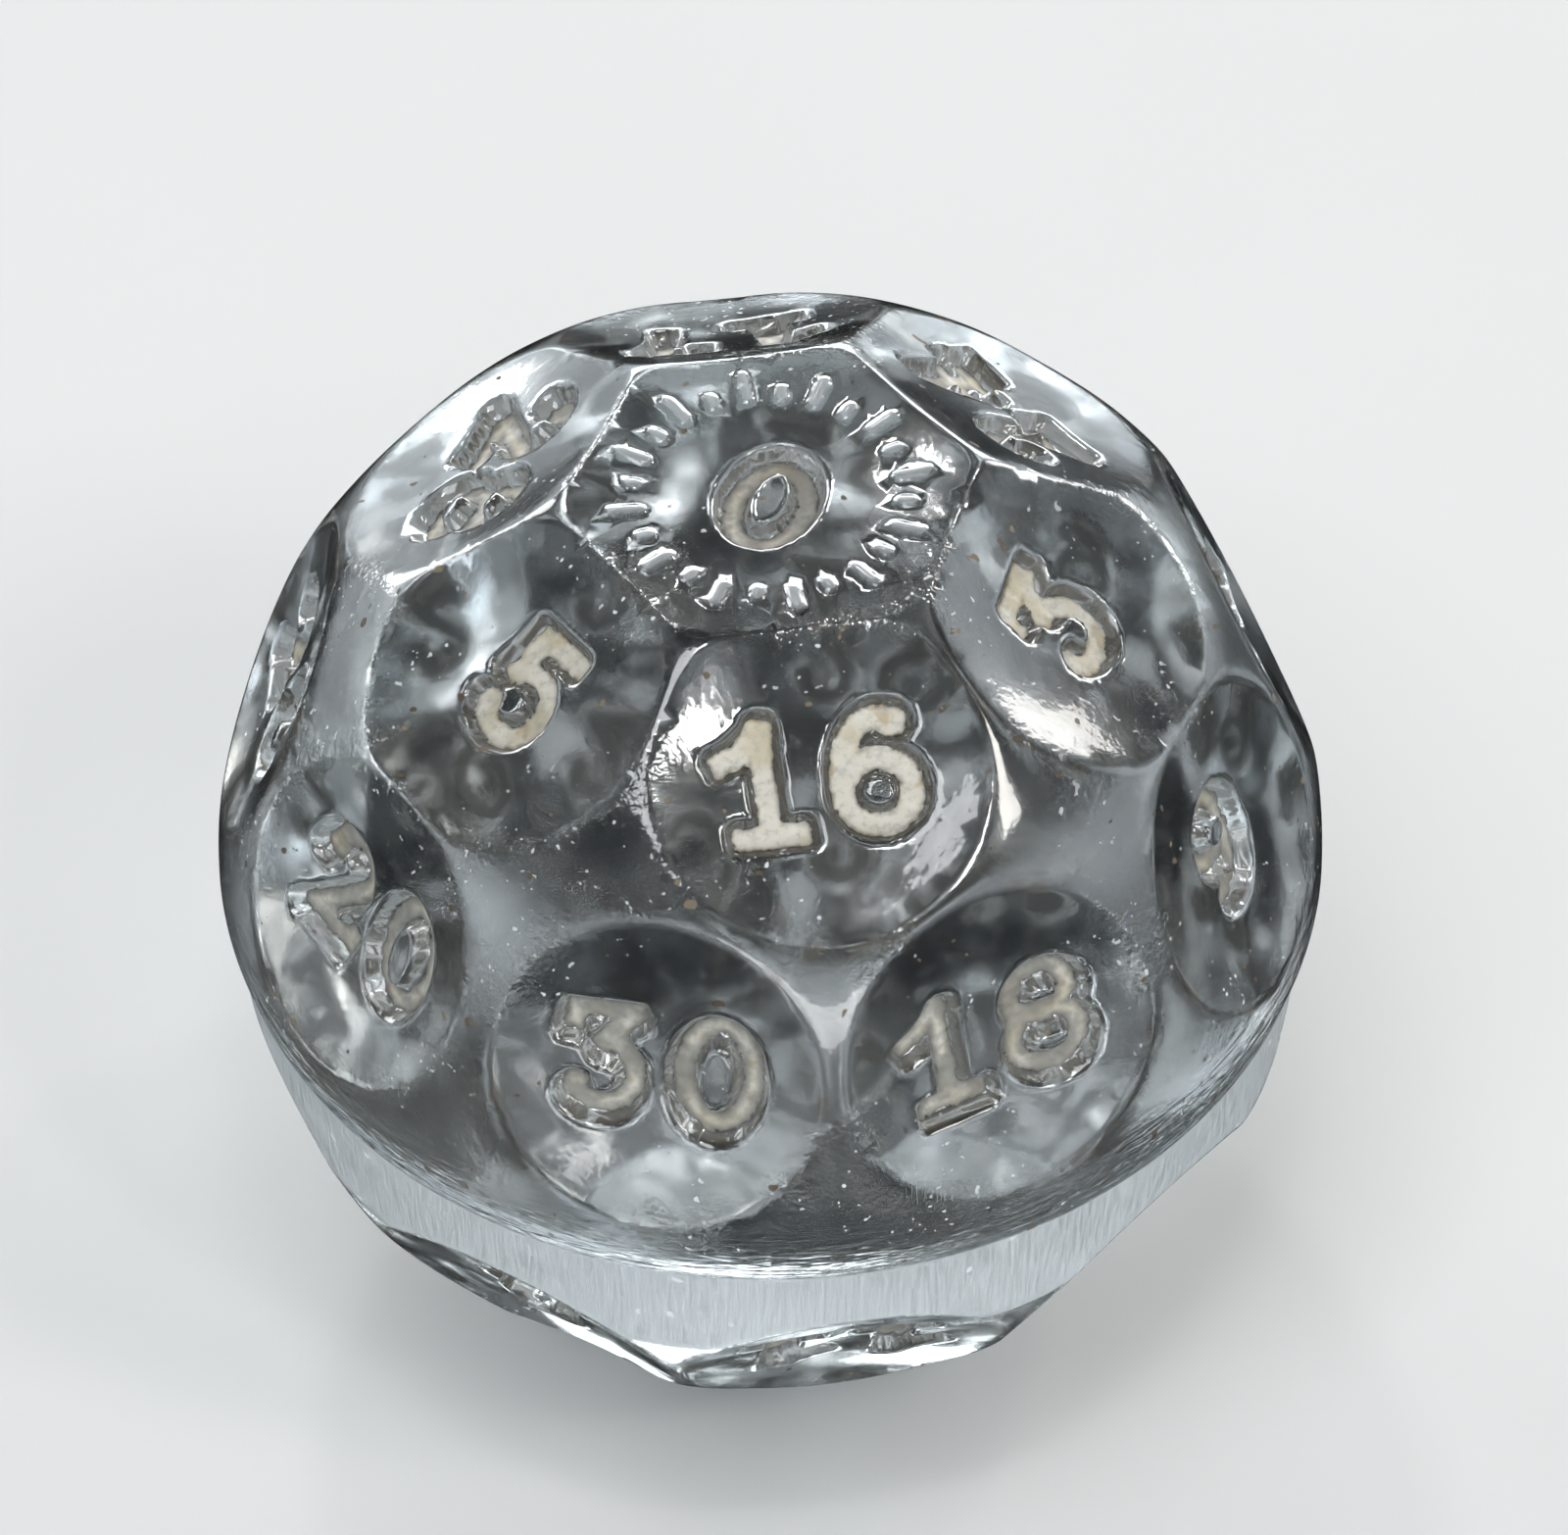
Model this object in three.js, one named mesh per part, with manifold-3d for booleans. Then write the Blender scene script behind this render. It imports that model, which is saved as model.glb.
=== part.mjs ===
// A pressed clear-glass ball die: thirty-two flat facets numbered 0 to 31, with ivory enamel in the numerals.
// Frame: millimetres, +Z up through the facet numbered 0, origin in the middle of the facet it rests on.
import * as THREE from 'three';
import { mergeVertices } from 'three/addons/utils/BufferGeometryUtils.js';
import Module from 'manifold-3d';

const wasm = await Module();
wasm.setup();

// Driving dimensions. Distances called a share are shares of the ball's radius.
const BALL_DIAMETER = 25;
const BALL_RADIUS = BALL_DIAMETER / 2;
const BALL_STEPS_AROUND = 42;
const BALL_STEPS_ALONG = 7;

// The pole facets and the rings of facets between them. An azimuth is counted from the -Y side
// towards +X, and a plane share is a facet's distance from the centre. The mould was cut by hand,
// so the two upper rings are a few degrees uneven.
const POLE_PLANE_SHARE = 0.93;
const RINGS = [
  { polar: 0, azimuths: [-20], planeShare: POLE_PLANE_SHARE, numbers: [0] },
  { polar: 35, azimuths: [9, 73, 131, 189, 246, 306], planeShare: 0.953, numbers: [16, 3, 24, 17, 28, 5] },
  {
    polar: 68,
    azimuths: [-13, 27, 68, 107, 147, 186, 226, 265, 305],
    planeShare: 0.955,
    numbers: [30, 18, 9, 22, 7, 14, 1, 26, 20],
  },
  {
    polar: 118,
    azimuths: [9, 49, 89, 129, 169, 209, 249, 289, 329],
    planeShare: 0.955,
    numbers: [11, 25, 6, 13, 29, 2, 12, 23, 8],
  },
  { polar: 145, azimuths: [39, 99, 159, 219, 279, 339], planeShare: 0.953, numbers: [19, 4, 27, 10, 21, 15] },
  { polar: 180, azimuths: [0], planeShare: POLE_PLANE_SHARE, numbers: [31] },
];

// The belt where the two halves of the mould met: the upper half ends in a lip,
// and the flash below it is ground back to a slightly conical band.
const LIP_RADIUS_SHARE = 0.987;
const LIP_HEIGHT_SHARE = -0.05;
const BELT_TOP_RADIUS_SHARE = 0.973;
const BELT_TOP_HEIGHT_SHARE = -0.062;
const BELT_FOOT_RADIUS_SHARE = 0.957;

// Numerals: strokes pressed into the glass with sloping walls, and enamel on the floor of each.
const NUMERAL_HEIGHT = 2.36;
const NUMERAL_PITCH = 2.56;
const FLOOR_HALF_WIDTH = 0.235;
const WALL_RUN = 0.18;
const RECESS_DEPTH = 0.45;
const CUTTER_RISE = 0.3;
const ENAMEL_GAP = 0.03;
const ENAMEL_THICKNESS = 0.2;
const RING_SIDES = 10;
const DOT_SIDES = 6;

// The ring of raised marks around the 0, long and short in turn.
const MARK_COUNT = 24;
const MARK_INNER_RADIUS = 2.75;
const MARK_LENGTHS = [0.9, 0.5];
const MARK_WIDTH = 0.3;
const MARK_HEIGHT = 0.1;
const MARK_ROOT = 0.2;

const GLASS = new THREE.MeshStandardMaterial({ color: 0xdfe7ea, roughness: 0.05, metalness: 0 });
const ENAMEL = new THREE.MeshStandardMaterial({ color: 0xcdc6b4, roughness: 0.6, metalness: 0 });

// Strokes of the ten numerals. One unit is NUMERAL_HEIGHT, measured along the middle of a stroke.
const bar = (x0, y0, x1, y1) => ({ kind: 'bar', x0, y0, x1, y1 });
const arc = (x, y, rx, ry, from, to) => ({ kind: 'arc', x, y, rx, ry, from, to });
const ring = (x, y, rx, ry) => ({ kind: 'ring', x, y, rx, ry });
const dot = (x, y, r) => ({ kind: 'dot', x, y, r });
const turned = (strokes) => strokes.map((stroke) => ({ ...stroke, halfTurn: true }));

const SIX = [ring(0, -0.19, 0.32, 0.31), arc(0.06, -0.06, 0.38, 0.56, 180, 72), dot(0.2, 0.43, 0.13)];
const STROKES = [
  [ring(0, 0, 0.33, 0.5)],
  [bar(0.06, 0.48, 0.06, -0.48), bar(0.04, 0.47, -0.15, 0.3), bar(-0.13, 0.3, -0.32, 0.22),
    bar(-0.2, -0.49, 0.32, -0.49)],
  [dot(-0.2, 0.26, 0.12), arc(0, 0.22, 0.3, 0.28, 170, -35), bar(0.2, 0.02, -0.28, -0.44),
    bar(-0.26, -0.44, 0.3, -0.48), bar(0.3, -0.46, 0.34, -0.34)],
  [bar(-0.26, 0.46, 0.26, 0.48), bar(-0.28, 0.44, -0.3, 0.32), bar(0.24, 0.42, 0, 0.14),
    arc(0, -0.19, 0.31, 0.31, 90, -150), dot(-0.24, -0.31, 0.12)],
  [bar(0.08, 0.46, -0.3, -0.16), bar(-0.3, -0.2, 0.34, -0.2), bar(0.14, 0.48, 0.14, -0.48),
    bar(-0.02, -0.49, 0.3, -0.49)],
  [bar(-0.2, 0.46, 0.26, 0.48), bar(-0.22, 0.44, -0.25, 0.06), arc(0, -0.18, 0.32, 0.32, 140, -150),
    dot(-0.25, -0.32, 0.12)],
  SIX,
  [bar(-0.26, 0.45, 0.28, 0.45), bar(-0.3, 0.43, -0.3, 0.28), bar(0.26, 0.42, 0.02, -0.06),
    bar(0.02, -0.06, -0.04, -0.46)],
  [ring(0, 0.24, 0.29, 0.25), ring(0, -0.23, 0.34, 0.27)],
  turned(SIX),
];

const radians = THREE.MathUtils.degToRad;

// A closed geometry as a solid that can be joined and cut.
function solidOf(geometry) {
  const bare = geometry.clone();
  bare.deleteAttribute('normal');
  bare.deleteAttribute('uv');
  const merged = mergeVertices(bare);
  return new wasm.Manifold(new wasm.Mesh({
    numProp: 3,
    vertProperties: new Float32Array(merged.attributes.position.array),
    triVerts: new Uint32Array(merged.index.array),
  }));
}

function geometryOf(solid) {
  const mesh = solid.getMesh();
  const geometry = new THREE.BufferGeometry();
  geometry.setAttribute('position', new THREE.BufferAttribute(new Float32Array(mesh.vertProperties), 3));
  geometry.setIndex(new THREE.BufferAttribute(new Uint32Array(mesh.triVerts), 1));
  geometry.computeVertexNormals();
  return geometry;
}

function unionOf(solids) {
  return solids.reduce((whole, next) => whole.add(next));
}

// The outline of one stroke, halfWidth to each side of its middle line.
function strokeShape(stroke, halfWidth) {
  const scale = NUMERAL_HEIGHT * (stroke.halfTurn ? -1 : 1);
  const shape = new THREE.Shape();
  if (stroke.kind === 'bar') {
    const start = new THREE.Vector2(stroke.x0, stroke.y0).multiplyScalar(scale);
    const end = new THREE.Vector2(stroke.x1, stroke.y1).multiplyScalar(scale);
    const along = end.clone().sub(start).setLength(halfWidth);
    const across = new THREE.Vector2(-along.y, along.x);
    start.sub(along);
    end.add(along);
    shape.setFromPoints([
      start.clone().sub(across), end.clone().sub(across), end.clone().add(across), start.clone().add(across),
    ]);
    return shape;
  }
  const x = stroke.x * scale;
  const y = stroke.y * scale;
  const turn = stroke.halfTurn ? Math.PI : 0;
  if (stroke.kind === 'dot') {
    const radius = stroke.r * NUMERAL_HEIGHT + halfWidth - FLOOR_HALF_WIDTH;
    shape.absellipse(x, y, radius, radius, 0, 2 * Math.PI, false, turn);
    return shape;
  }
  const rx = stroke.rx * NUMERAL_HEIGHT;
  const ry = stroke.ry * NUMERAL_HEIGHT;
  if (stroke.kind === 'ring') {
    shape.absellipse(x, y, rx + halfWidth, ry + halfWidth, 0, 2 * Math.PI, false, turn);
    const hole = new THREE.Path();
    hole.absellipse(x, y, rx - halfWidth, ry - halfWidth, 0, 2 * Math.PI, true, turn);
    shape.holes.push(hole);
    return shape;
  }
  const from = radians(stroke.from);
  const to = radians(stroke.to);
  shape.absellipse(x, y, rx + halfWidth, ry + halfWidth, from, to, true, turn);
  shape.absellipse(x, y, rx - halfWidth, ry - halfWidth, to, from, false, turn);
  shape.closePath();
  return shape;
}

// An ellipse in a shape gets two sides for each curve segment.
function curveSegments(stroke) {
  if (stroke.kind === 'dot') return DOT_SIDES / 2;
  if (stroke.kind === 'arc') return Math.round(RING_SIDES * (Math.abs(stroke.to - stroke.from) / 360) / 2);
  return RING_SIDES / 2;
}

// The tool that presses one numeral: it stands on the recess floor and widens towards the facet at z = 0.
function recessSolid(digit) {
  return unionOf(STROKES[digit].map((stroke) => solidOf(new THREE.ExtrudeGeometry(
    strokeShape(stroke, FLOOR_HALF_WIDTH),
    {
      depth: CUTTER_RISE,
      bevelThickness: RECESS_DEPTH,
      bevelSize: WALL_RUN,
      bevelSegments: 1,
      curveSegments: curveSegments(stroke),
    },
  ))));
}

// The enamel on the floor of one numeral, clear of the glass all round.
function enamelSolid(digit) {
  const strokes = STROKES[digit].map((stroke) => solidOf(new THREE.ExtrudeGeometry(
    strokeShape(stroke, FLOOR_HALF_WIDTH - ENAMEL_GAP),
    { depth: ENAMEL_THICKNESS, bevelEnabled: false, curveSegments: curveSegments(stroke) },
  )));
  return unionOf(strokes).translate([0, 0, ENAMEL_GAP - RECESS_DEPTH]);
}

// Every facet with its place: x to the right of the numeral, y to its top, z out of the glass.
function placedFacets() {
  return RINGS.flatMap(({ polar, azimuths, planeShare, numbers }) => numbers.map((number, index) => {
    const tilt = radians(polar);
    const azimuth = radians(azimuths[index]);
    const outward = new THREE.Vector3(
      Math.sin(tilt) * Math.sin(azimuth), -Math.sin(tilt) * Math.cos(azimuth), Math.cos(tilt));
    const towardsNorth = new THREE.Vector3(
      -Math.cos(tilt) * Math.sin(azimuth), Math.cos(tilt) * Math.cos(azimuth), Math.sin(tilt));
    const top = polar < 90 ? towardsNorth : towardsNorth.negate();
    const right = top.clone().cross(outward);
    const place = new THREE.Matrix4().makeBasis(right, top, outward);
    place.setPosition(outward.clone().multiplyScalar(planeShare * BALL_RADIUS));
    return { number, place };
  }));
}

// The digits of a number with their sideways places on the facet.
function digitsOf(number) {
  const digits = String(number).split('').map(Number);
  const first = -NUMERAL_PITCH * (digits.length - 1) / 2;
  const places = digits.length === 1 ? [''] : ['_tens', '_units'];
  return digits.map((digit, index) => ({ digit, x: first + NUMERAL_PITCH * index, suffix: places[index] }));
}

function numeralPlace(facet, x) {
  return facet.place.clone().multiply(new THREE.Matrix4().makeTranslation(x, 0, 0));
}

// The turned form of the glass before its facets: the ball, its lip and its ground belt.
function ballSolid() {
  const beltFootAngle = Math.asin(BELT_FOOT_RADIUS_SHARE);
  const profile = [];
  for (let step = 0; step <= BALL_STEPS_ALONG; step += 1) {
    const angle = (beltFootAngle * step) / BALL_STEPS_ALONG;
    profile.push(new THREE.Vector2(Math.sin(angle), -Math.cos(angle)));
  }
  profile.push(new THREE.Vector2(BELT_TOP_RADIUS_SHARE, BELT_TOP_HEIGHT_SHARE));
  profile.push(new THREE.Vector2(LIP_RADIUS_SHARE, LIP_HEIGHT_SHARE));
  for (let step = 0; step <= BALL_STEPS_ALONG; step += 1) {
    const angle = (Math.PI / 2) * (1 - step / BALL_STEPS_ALONG);
    profile.push(new THREE.Vector2(Math.sin(angle), Math.cos(angle)));
  }
  profile[0].x = 0;
  profile[profile.length - 1].x = 0;
  profile.forEach((point) => point.multiplyScalar(BALL_RADIUS));
  return solidOf(new THREE.LatheGeometry(profile, BALL_STEPS_AROUND).rotateX(Math.PI / 2));
}

// A block standing on a facet's plane: all the glass in it is cut away.
function facetCutter(facet) {
  const side = BALL_RADIUS * 1.5;
  const block = new THREE.BoxGeometry(side, side, BALL_RADIUS);
  block.translate(0, 0, BALL_RADIUS / 2);
  return solidOf(block.applyMatrix4(facet.place));
}

// Raised marks around the 0, rooted in the glass.
function markSolids(facet) {
  return Array.from({ length: MARK_COUNT }, (_, index) => {
    const length = MARK_LENGTHS[index % MARK_LENGTHS.length];
    const mark = new THREE.BoxGeometry(MARK_WIDTH, length, MARK_HEIGHT + MARK_ROOT);
    mark.translate(0, MARK_INNER_RADIUS + length / 2, (MARK_HEIGHT - MARK_ROOT) / 2);
    mark.rotateZ((2 * Math.PI * index) / MARK_COUNT);
    return solidOf(mark.applyMatrix4(facet.place));
  });
}

function glassGeometry(facets) {
  const cutters = facets.map(facetCutter);
  const recesses = facets.flatMap((facet) => digitsOf(facet.number).map(({ digit, x }) => (
    recessSolid(digit).transform(numeralPlace(facet, x).toArray()))));
  const faceted = ballSolid().subtract(unionOf(cutters));
  return geometryOf(faceted.add(unionOf(markSolids(facets[0]))).subtract(unionOf(recesses)));
}

const facets = placedFacets();
const die = new THREE.Group();
die.name = 'glass_ball_die';
die.position.z = POLE_PLANE_SHARE * BALL_RADIUS;

const glass = new THREE.Mesh(glassGeometry(facets), GLASS);
glass.name = 'glass_body';
die.add(glass);

for (const facet of facets) {
  for (const { digit, x, suffix } of digitsOf(facet.number)) {
    const enamel = new THREE.Mesh(geometryOf(enamelSolid(digit)), ENAMEL);
    enamel.name = `enamel_${facet.number}${suffix}`;
    enamel.applyMatrix4(numeralPlace(facet, x));
    die.add(enamel);
  }
}

export default die;
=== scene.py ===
import math

import bmesh
import bpy
import numpy as np
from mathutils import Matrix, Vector


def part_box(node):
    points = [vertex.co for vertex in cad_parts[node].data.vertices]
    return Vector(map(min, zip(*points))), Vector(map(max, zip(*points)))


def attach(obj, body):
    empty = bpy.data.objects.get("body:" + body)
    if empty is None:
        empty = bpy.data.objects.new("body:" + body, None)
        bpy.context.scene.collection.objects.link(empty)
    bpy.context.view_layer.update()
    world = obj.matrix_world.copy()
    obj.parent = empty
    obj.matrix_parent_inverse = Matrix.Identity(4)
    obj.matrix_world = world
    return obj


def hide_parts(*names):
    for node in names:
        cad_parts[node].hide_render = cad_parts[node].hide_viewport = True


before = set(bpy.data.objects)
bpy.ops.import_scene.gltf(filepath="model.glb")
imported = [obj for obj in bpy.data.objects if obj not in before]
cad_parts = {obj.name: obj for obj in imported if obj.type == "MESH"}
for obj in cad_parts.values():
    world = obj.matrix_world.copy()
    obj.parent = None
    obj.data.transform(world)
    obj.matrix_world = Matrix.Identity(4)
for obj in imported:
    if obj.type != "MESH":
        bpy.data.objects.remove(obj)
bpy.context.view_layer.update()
rng = np.random.default_rng(31)

# ---------------------------------------------------------------- sizes
# Lengths are in millimetres, measured from the ball's centre. MM turns them into metres.
MM = 0.001
GLASS_LOW, GLASS_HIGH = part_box("glass_body")
# The glass stays this far inside its CAD box, so that its ripples don't pass the box.
RIPPLE_ROOM = 0.012
RADIUS = (GLASS_HIGH.x - GLASS_LOW.x) / 2 / MM - RIPPLE_ROOM
POLE_PLANE_SHARE = 0.93
CENTRE = np.array([0.0, 0.0, POLE_PLANE_SHARE * RADIUS])

# The facets in rings: polar angle, azimuths from the -Y side, plane's distance as a share of the
# radius, and the numbers. The facets of the two upper rings are a little unevenly spaced.
RINGS = [
    (0, [-20], POLE_PLANE_SHARE, [0]),
    (35, [9, 73, 131, 189, 246, 306], 0.953, [16, 3, 24, 17, 28, 5]),
    (68, [-13, 27, 68, 107, 147, 186, 226, 265, 305], 0.955, [30, 18, 9, 22, 7, 14, 1, 26, 20]),
    (118, [9, 49, 89, 129, 169, 209, 249, 289, 329], 0.955, [11, 25, 6, 13, 29, 2, 12, 23, 8]),
    (145, [39, 99, 159, 219, 279, 339], 0.953, [19, 4, 27, 10, 21, 15]),
    (180, [0], POLE_PLANE_SHARE, [31]),
]

# The lip and the ground belt, as shares of the radius: distance from the axis, height over the middle.
BELT_PROFILE = [(1.0, 0.0), (0.987, -0.05), (0.973, -0.062), (0.957, -0.29)]
BELT_PROFILE_STEPS = 30

# Where the belt and the lip show their own finish, as heights over the middle in shares of the radius.
BELT_TOP, BELT_TOP_FADE = -0.05, 0.01
BELT_FOOT, BELT_FOOT_FADE = -0.31, 0.03
LIP_HEIGHT, LIP_SPREAD = -0.055, 0.012
FOLD_SPREAD = 0.06
RIDGE_SPREAD = 0.12

DISH_DEPTH = 0.28
RIDGE_SOFTNESS = 0.05

# A numeral is a recess: a flat floor along each stroke, then a wall that runs outwards as it rises.
NUMERAL_HEIGHT = 2.36
NUMERAL_PITCH = 2.56
FLOOR_HALF_WIDTH = 0.235
STROKE_BLEND = 0.03
WALL_RUN = 0.18
WALL_OVERLAP = 0.02
WALL_ROUNDNESS = 0.55
RECESS_DEPTH = 0.45

MARK_COUNT = 24
MARK_INNER_RADIUS = 2.75
MARK_LENGTHS = (0.9, 0.5)
MARK_WIDTH = 0.3
MARK_HEIGHT = 0.1
MARK_WALL = 0.12

# Longest edges of the glass mesh: on open glass, on the belt, at ridges and the lip, and at the numerals.
OPEN_EDGE = 0.5
BELT_EDGE = 0.26
RIDGE_EDGE = 0.13
NUMERAL_EDGE = 0.118
# How far the finer mesh reaches: beside a ridge, over and under the lip, and round a numeral.
RIDGE_ZONE = 0.09
LIP_ZONE = 0.03
NUMERAL_ZONE = 0.3
WALL_ZONE = (-0.05, WALL_RUN + 0.04)
ICOSPHERE_LEVEL = 6
REFINE_ROUNDS = 4
EDGE_TOLERANCE = 1.15
# How far a mesh point may move to reach a wall's outline, as a share of NUMERAL_EDGE.
SNAP_SHARE = 0.36
# A short step along a surface, for measuring a slope, and the flattest slope that a move divides by.
PROBE = 0.01
SMALLEST_SLOPE = 0.2
FAR_AWAY = 9.0
ENAMEL_EDGE = 0.06


# ---------------------------------------------------------------- numerals
def bar(x0, y0, x1, y1):
    return ("bar", x0, y0, x1, y1)


def arc(x, y, rx, ry, start, end):
    return ("arc", x, y, rx, ry, start, end)


def ring(x, y, rx, ry):
    return ("arc", x, y, rx, ry, 0, 360)


def dot(x, y, r):
    return ("dot", x, y, r)


# One unit is NUMERAL_HEIGHT, measured along the middle of a stroke.
SIX = [ring(0, -0.19, 0.32, 0.31), arc(0.06, -0.06, 0.38, 0.56, 180, 72), dot(0.2, 0.43, 0.13)]
STROKES = [
    [ring(0, 0, 0.33, 0.5)],
    [bar(0.06, 0.48, 0.06, -0.48), bar(0.04, 0.47, -0.15, 0.3), bar(-0.13, 0.3, -0.32, 0.22),
     bar(-0.2, -0.49, 0.32, -0.49)],
    [dot(-0.2, 0.26, 0.12), arc(0, 0.22, 0.3, 0.28, 170, -35), bar(0.2, 0.02, -0.28, -0.44),
     bar(-0.26, -0.44, 0.3, -0.48), bar(0.3, -0.46, 0.34, -0.34)],
    [bar(-0.26, 0.46, 0.26, 0.48), bar(-0.28, 0.44, -0.3, 0.32), bar(0.24, 0.42, 0, 0.14),
     arc(0, -0.19, 0.31, 0.31, 90, -150), dot(-0.24, -0.31, 0.12)],
    [bar(0.08, 0.46, -0.3, -0.16), bar(-0.3, -0.2, 0.34, -0.2), bar(0.14, 0.48, 0.14, -0.48),
     bar(-0.02, -0.49, 0.3, -0.49)],
    [bar(-0.2, 0.46, 0.26, 0.48), bar(-0.22, 0.44, -0.25, 0.06), arc(0, -0.18, 0.32, 0.32, 140, -150),
     dot(-0.25, -0.32, 0.12)],
    SIX,
    [bar(-0.26, 0.45, 0.28, 0.45), bar(-0.3, 0.43, -0.3, 0.28), bar(0.26, 0.42, 0.02, -0.06),
     bar(0.02, -0.06, -0.04, -0.46)],
    [ring(0, 0.24, 0.29, 0.25), ring(0, -0.23, 0.34, 0.27)],
    SIX,
]
HALF_TURNED = {9}
CORNER_ROUNDING = 0.07
ARC_STEPS = 40


def smooth_step(value):
    part = np.clip(value, 0, 1)
    return part * part * (3 - 2 * part)


def segment_distance(points, start, end):
    along = end - start
    share = np.clip(((points - start) @ along) / (along @ along), 0, 1)
    return np.linalg.norm(points - start - share[:, None] * along, axis=1)


def stroke_distance(points, stroke):
    """How far each point lies outside a stroke's outline on the recess floor, in millimetres."""
    kind, *numbers = stroke
    if kind == "bar":
        start = np.array(numbers[:2]) * NUMERAL_HEIGHT
        end = np.array(numbers[2:]) * NUMERAL_HEIGHT
        along = (end - start) / np.linalg.norm(end - start)
        across = np.array([-along[1], along[0]])
        middle = (start + end) / 2
        half = np.array([np.linalg.norm(end - start) / 2 + FLOOR_HALF_WIDTH, FLOOR_HALF_WIDTH])
        local = np.abs(np.stack([(points - middle) @ along, (points - middle) @ across], 1))
        beyond = local - half + CORNER_ROUNDING
        inside = np.minimum(beyond.max(1), 0)
        return np.linalg.norm(np.maximum(beyond, 0), axis=1) + inside - CORNER_ROUNDING
    if kind == "dot":
        x, y, r = numbers
        return np.linalg.norm(points - np.array([x, y]) * NUMERAL_HEIGHT, axis=1) - r * NUMERAL_HEIGHT
    x, y, rx, ry, start, end = numbers
    angles = np.radians(np.linspace(start, end, ARC_STEPS + 1))
    path = np.stack([x + rx * np.cos(angles), y + ry * np.sin(angles)], 1) * NUMERAL_HEIGHT
    nearest = np.full(len(points), np.inf)
    for first, second in zip(path[:-1], path[1:]):
        nearest = np.minimum(nearest, segment_distance(points, first, second))
    return nearest - FLOOR_HALF_WIDTH


def digit_distance(points, digit):
    """How far each point lies outside a digit's recess floor, with the strokes blended together."""
    if digit in HALF_TURNED:
        points = -points
    distances = np.stack([stroke_distance(points, stroke) for stroke in STROKES[digit]])
    return -STROKE_BLEND * np.log(np.exp(-np.clip(distances, -1, 3) / STROKE_BLEND).sum(0))


def digits_of(number):
    """The digits of a number, each with its sideways place on the facet and its node's name."""
    text = str(number)
    first = -NUMERAL_PITCH * (len(text) - 1) / 2
    places = [""] if len(text) == 1 else ["_tens", "_units"]
    return [
        (int(digit), first + NUMERAL_PITCH * index, f"{number}{places[index]}")
        for index, digit in enumerate(text)
    ]


def number_distance(points, number):
    nearest = np.full(len(points), np.inf)
    for digit, x, _ in digits_of(number):
        nearest = np.minimum(nearest, digit_distance(points - [x, 0], digit))
    return nearest


def recess_profile(distance):
    """Share of the full recess depth at a distance outside the floor's outline."""
    ramp = np.clip(1 - (distance + WALL_OVERLAP) / (WALL_RUN + 2 * WALL_OVERLAP), 0, 1)
    return (1 - WALL_ROUNDNESS) * ramp + WALL_ROUNDNESS * smooth_step(ramp)


# ---------------------------------------------------------------- the ball's form
class Facet:
    def __init__(self, number, polar, azimuth, plane_share):
        tilt, turn = math.radians(polar), math.radians(azimuth)
        self.number = number
        self.distance = plane_share * RADIUS
        self.outward = np.array(
            [math.sin(tilt) * math.sin(turn), -math.sin(tilt) * math.cos(turn), math.cos(tilt)])
        north = np.array(
            [-math.cos(tilt) * math.sin(turn), math.cos(tilt) * math.cos(turn), math.sin(tilt)])
        self.top = north if polar < 90 else -north
        self.right = np.cross(self.top, self.outward)
        self.middle = self.outward * self.distance

    def flat(self, points):
        """Points as x to the numeral's right and y to its top."""
        return np.stack([(points - self.middle) @ self.right, (points - self.middle) @ self.top], 1)


FACETS = [
    Facet(number, polar, azimuth, share)
    for polar, azimuths, share, numbers in RINGS
    for azimuth, number in zip(azimuths, numbers)
]
OUTWARD = np.stack([facet.outward for facet in FACETS])
PLANES = np.array([facet.distance for facet in FACETS])
# Each facet's rim radius, squared.
RIMS = RADIUS**2 - PLANES**2
# Keeps directions that never meet a facet's plane from dividing by zero.
SMALLEST_FACING = 1e-3

# The ripples are a sum of plain waves with seeded directions, lengths and phases.
RIPPLE_WAVES = 40
RIPPLE_LENGTHS = (2.6, 7.0)
RIPPLE_SLOPE = 0.0011
ripple_directions = rng.normal(size=(RIPPLE_WAVES, 3))
ripple_directions /= np.linalg.norm(ripple_directions, axis=1)[:, None]
ripple_lengths = rng.uniform(*RIPPLE_LENGTHS, RIPPLE_WAVES)
ripple_phases = rng.uniform(0, 2 * math.pi, RIPPLE_WAVES)


def ripple(points):
    """The slight unevenness of pressed glass, in millimetres."""
    waves = points @ (ripple_directions / ripple_lengths[:, None]).T * 2 * math.pi + ripple_phases
    return (np.sin(waves) * ripple_lengths * RIPPLE_SLOPE).sum(1) / math.sqrt(RIPPLE_WAVES)


def turned_radius(directions):
    """Radius of the ball with its lip and belt, before the facets are pressed in."""
    polar = np.arccos(np.clip(directions[:, 2], -1, 1))
    steps = np.linspace(0, 1, BELT_PROFILE_STEPS)
    corners = np.array(BELT_PROFILE)
    path = np.concatenate([a + (b - a) * steps[:, None] for a, b in zip(corners[:-1], corners[1:])])
    foot = corners[-1] / np.linalg.norm(corners[-1])
    path = np.concatenate([[[0, 1]], path, [foot, [0, -1]]])
    return np.interp(polar, np.arctan2(path[:, 0], path[:, 1]), np.linalg.norm(path, axis=1)) * RADIUS


def reaches(directions):
    """Distance from the centre to the turned ball and to every dished facet, along each direction."""
    facing = np.maximum(directions @ OUTWARD.T, SMALLEST_FACING)
    flat = PLANES / facing
    dish = DISH_DEPTH * np.clip(1 - (flat**2 - PLANES**2) / RIMS, 0, 1)
    return np.column_stack([turned_radius(directions), (PLANES - dish) / facing])


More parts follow.
